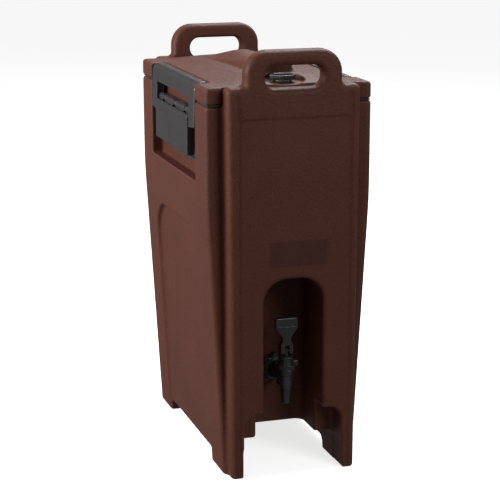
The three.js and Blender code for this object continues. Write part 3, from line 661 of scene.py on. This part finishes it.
def metal(name, colour, rough):
    """Drawn steel wire and rod, with fine marks along it and slight tarnish."""
    material, nodes, links, shader = bare_material(name)
    place = nodes.new("ShaderNodeTexCoord").outputs["Object"]
    marks = noise(nodes, links, place, 900, 3)
    tarnish = noise(nodes, links, place, 120, 4)
    dull = tuple(c * 0.7 for c in colour)
    tone = span(nodes, links, tarnish, 0.35, 0.7, 0, 1)
    links.new(blend_colour(nodes, links, tone, colour, dull), shader.inputs["Base Color"])
    links.new(span(nodes, links, marks, 0.3, 0.7, rough - 0.08, rough + 0.12), shader.inputs["Roughness"])
    shader.inputs["Metallic"].default_value = 1
    return material


def foamed(name):
    """Set polyurethane foam: small cells and a yellowed cream colour."""
    material, nodes, links, shader = bare_material(name)
    place = nodes.new("ShaderNodeTexCoord").outputs["Object"]
    cells = nodes.new("ShaderNodeTexVoronoi")
    cells.inputs["Scale"].default_value = 700
    links.new(place, cells.inputs["Vector"])
    clouds = noise(nodes, links, place, 30, 4)
    tone = span(nodes, links, clouds, 0.3, 0.7, 0, 1)
    colour = blend_colour(nodes, links, tone, (0.71, 0.6, 0.36), (0.82, 0.73, 0.5))
    links.new(colour, shader.inputs["Base Color"])
    links.new(span(nodes, links, cells.outputs["Distance"], 0, 0.8, 0.85, 0.98), shader.inputs["Roughness"])
    relief_node = nodes.new("ShaderNodeBump")
    relief_node.inputs["Strength"].default_value = 0.6
    relief_node.inputs["Distance"].default_value = 0.0008
    links.new(cells.outputs["Distance"], relief_node.inputs["Height"])
    links.new(relief_node.outputs["Normal"], shader.inputs["Normal"])
    return material


# Each moulded material: its darker and lighter colours, its rubbed edges, roughness, grain and relief.
MATERIALS = {
    "shell": moulded(
        "brown_polyethylene", (0.07, 0.0185, 0.0105), (0.088, 0.0245, 0.0145), (0.15, 0.06, 0.043),
        0.5, 620, 0.9, specular=0.2,
    ),
    "liner": moulded(
        "liner_polyethylene", (0.1, 0.034, 0.022), (0.12, 0.042, 0.028), (0.17, 0.075, 0.055),
        0.42, 500, 0.25,
    ),
    "label": moulded(
        "smooth_brown_polyethylene", (0.05, 0.0125, 0.008), (0.056, 0.0145, 0.0095), (0.07, 0.022, 0.015),
        0.5, 300, 0.1, specular=0.25,
    ),
    "nylon": moulded(
        "charcoal_nylon", (0.015, 0.012, 0.0135), (0.021, 0.017, 0.019), (0.075, 0.065, 0.07),
        0.36, 1100, 0.3, specular=0.42, cloud=25,
    ),
    "black": moulded(
        "black_polycarbonate", (0.011, 0.01, 0.0105), (0.016, 0.015, 0.016), (0.05, 0.048, 0.05),
        0.22, 900, 0.08, spread=0.06, cloud=40,
    ),
    "seal": moulded(
        "black_rubber", (0.006, 0.006, 0.006), (0.01, 0.01, 0.01), (0.03, 0.03, 0.03),
        0.7, 1200, 0.3, cloud=40,
    ),
    "silicone": moulded(
        "grey_silicone", (0.44, 0.42, 0.38), (0.52, 0.5, 0.46), (0.6, 0.58, 0.54),
        0.5, 900, 0.15, cloud=40,
    ),
    "foam": foamed("polyurethane_foam"),
    "steel": metal("stainless_steel", (0.62, 0.63, 0.64), 0.28),
}


# ---------------------------------------------------------------- assembly
def place(piece, body, slot, *nodes):
    piece.data.materials.clear()
    piece.data.materials.append(MATERIALS[slot])
    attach(piece, body)
    if nodes:
        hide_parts(*nodes)
    return piece


def other_side(piece, name):
    """The left latch's piece: the right one's, turned half round about the upright axis."""
    twin = piece.copy()
    twin.data = piece.data.copy()
    twin.name = name
    twin.data.name = name
    bpy.context.scene.collection.objects.link(twin)
    twin.data.transform(Matrix.Rotation(math.pi, 4, "Z"))
    twin.data.update()
    return twin


def label_plate(x, y, z):
    return meet(rounded(x - 6, z - 324, 42, 18, 2), slab(y, -205.3, -204.2), 0.3)


def shifted(field, x, y, z):
    return lambda px, py, pz: field(px - x, py - y, pz - z)


coarser = 1

# Each piece: its name, field, box, step and triangles, and the body, slot and node that it stands for.
SINGLE_PIECES = [
    ("moulded_shell", shell, (-120, -206, 0), (120, 206, 605),
     1.8, 180000, "carrier", "shell", "outer_shell"),
    ("moulded_lid", lid, (-120, -184, 530), (120, 184, 581),
     1.4, 120000, "lid", "shell", "lid_shell"),
    ("smooth_plate", label_plate, (-37, -206, 305), (49, -204, 343),
     0.35, 20000, "carrier", "label", "blank_label"),
    ("tap_column", tap_body, (-13, -182, 94), (13, -53, 147),
     0.5, 70000, "carrier", "black", "tap_body"),
    ("tap_clamp_nut", tap_ring_nut, (-24, -122, 108), (24, -107, 156),
     0.5, 40000, "carrier", "black", "tap_ring_nut"),
    ("tap_cap", tap_bonnet, (-14, -182, 146), (18, -154, 167),
     0.4, 40000, "carrier", "black", "tap_bonnet"),
    ("tap_lever_handle", tap_handle, (-17, -175, 166), (17, -161, 223),
     0.4, 50000, "tap_lever", "black", "tap_handle"),
    ("vent_knob", vent_cap, (-18.5, -168.5, 530), (18.5, -131.5, 568),
     0.45, 60000, "vent_screw", "black", "vent_cap"),
]
for name, field, low, high, step, faces, body, slot, node in SINGLE_PIECES:
    place(sculpt(name, field, low, high, step * coarser, faces), body, slot, node)

# The same for a latch: its frame and lever are bodies of their own, and the rest is on the carrier.
LATCH_PIECES = [
    ("hook_frame", latch_frame, (100, -121, 488), (122, 121, 557),
     0.8, 60000, "{}_frame", "nylon", "latch_frame"),
    ("lever_plate", latch_lever, (105, -90, 447), (123, 90, 516),
     0.8, 70000, "{}_lever", "nylon", "latch_lever"),
    ("hinge_plate", latch_base, (102, -88, 435), (117, 88, 515),
     0.7, 60000, "carrier", "nylon", "latch_base"),
]
for number, y in ((1, -SCREW_SIDE), (2, SCREW_SIDE)):
    LATCH_PIECES.append(
        (f"pan_screw_{number}", shifted(pan_screw, 0, y, SCREW_Z),
         (102, y - 6, SCREW_Z - 6), (110, y + 6, SCREW_Z + 6),
         0.4, 9000, "carrier", "steel", f"latch_screw_{number}"))
for name, field, low, high, step, faces, body, slot, node in LATCH_PIECES:
    right = sculpt(f"right_{name}", shifted(field, LATCH_OUT, 0, 0), low, high, step * coarser, faces)
    left = other_side(right, f"left_{name}")
    for piece, side in ((right, "right"), (left, "left")):
        place(piece, body.format(side), slot, f"{side}_{node}")

SLOTS = {
    "foam_core": "foam", "lid_foam": "foam", "inner_tank": "liner", "lid_liner": "liner",
    "foam_fill_plug": "shell", "lid_gasket": "seal", "vent_bushing": "black", "vent_seal": "silicone",
    "tap_outer_washer": "seal", "tap_inner_washer": "silicone", "tap_lock_nut": "black",
    "tap_stem": "black", "tap_seat_cup": "silicone", "tap_spring": "steel", "tap_handle_pin": "steel",
}
for side in ("right", "left"):
    SLOTS[f"{side}_lever_pin"] = "steel"
    SLOTS[f"{side}_frame_pin_1"] = "steel"
    SLOTS[f"{side}_frame_pin_2"] = "steel"
for name, slot in SLOTS.items():
    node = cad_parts[name]
    node.data.materials.clear()
    node.data.materials.append(MATERIALS[slot])


# ---------------------------------------------------------------- floor and light
def make_floor():
    mesh = bpy.data.meshes.new("floor")
    mesh.from_pydata([(-40, -40, 0), (40, -40, 0), (40, 80, 0), (-40, 80, 0)], [], [(0, 1, 2, 3)])
    floor = bpy.data.objects.new("floor", mesh)
    bpy.context.scene.collection.objects.link(floor)
    material, nodes, links, shader = bare_material("pale_floor")
    shader.inputs["Base Color"].default_value = (0.85, 0.85, 0.85, 1)
    shader.inputs["Roughness"].default_value = 1
    shader.inputs["Specular IOR Level"].default_value = 0
    shader.inputs["Emission Color"].default_value = (1, 1, 1, 1)
    shader.inputs["Emission Strength"].default_value = 0.75
    mesh.materials.append(material)
    floor.visible_diffuse = False
    floor.visible_glossy = False


def area_light(name, location, target, width, height, power):
    data = bpy.data.lights.new(name, "AREA")
    data.shape = "RECTANGLE"
    data.size, data.size_y = width, height
    data.energy = power
    light = bpy.data.objects.new(name, data)
    light.location = location
    aim = Vector(target) - Vector(location)
    light.rotation_mode = "QUATERNION"
    light.rotation_quaternion = aim.to_track_quat("-Z", "Y")
    bpy.context.scene.collection.objects.link(light)


def make_light():
    area_light("overhead", (0.9, 1.1, 2.4), (0, 0, 0.5), 1.6, 1.6, 75)
    area_light("left_side", (-1.75, 0.2, 1.0), (0, 0, 0.42), 1.2, 0.8, 44)
    area_light("front_fill", (1.4, -2.9, 1.7), (0, 0, 0.42), 1.3, 1.3, 38)
    world = bpy.data.worlds.new("studio")
    world.use_nodes = True
    background = world.node_tree.nodes["Background"]
    background.inputs["Color"].default_value = (1, 1, 1, 1)
    background.inputs["Strength"].default_value = 0.2
    bpy.context.scene.world = world
    bpy.context.scene.view_settings.view_transform = "Standard"


make_floor()
make_light()
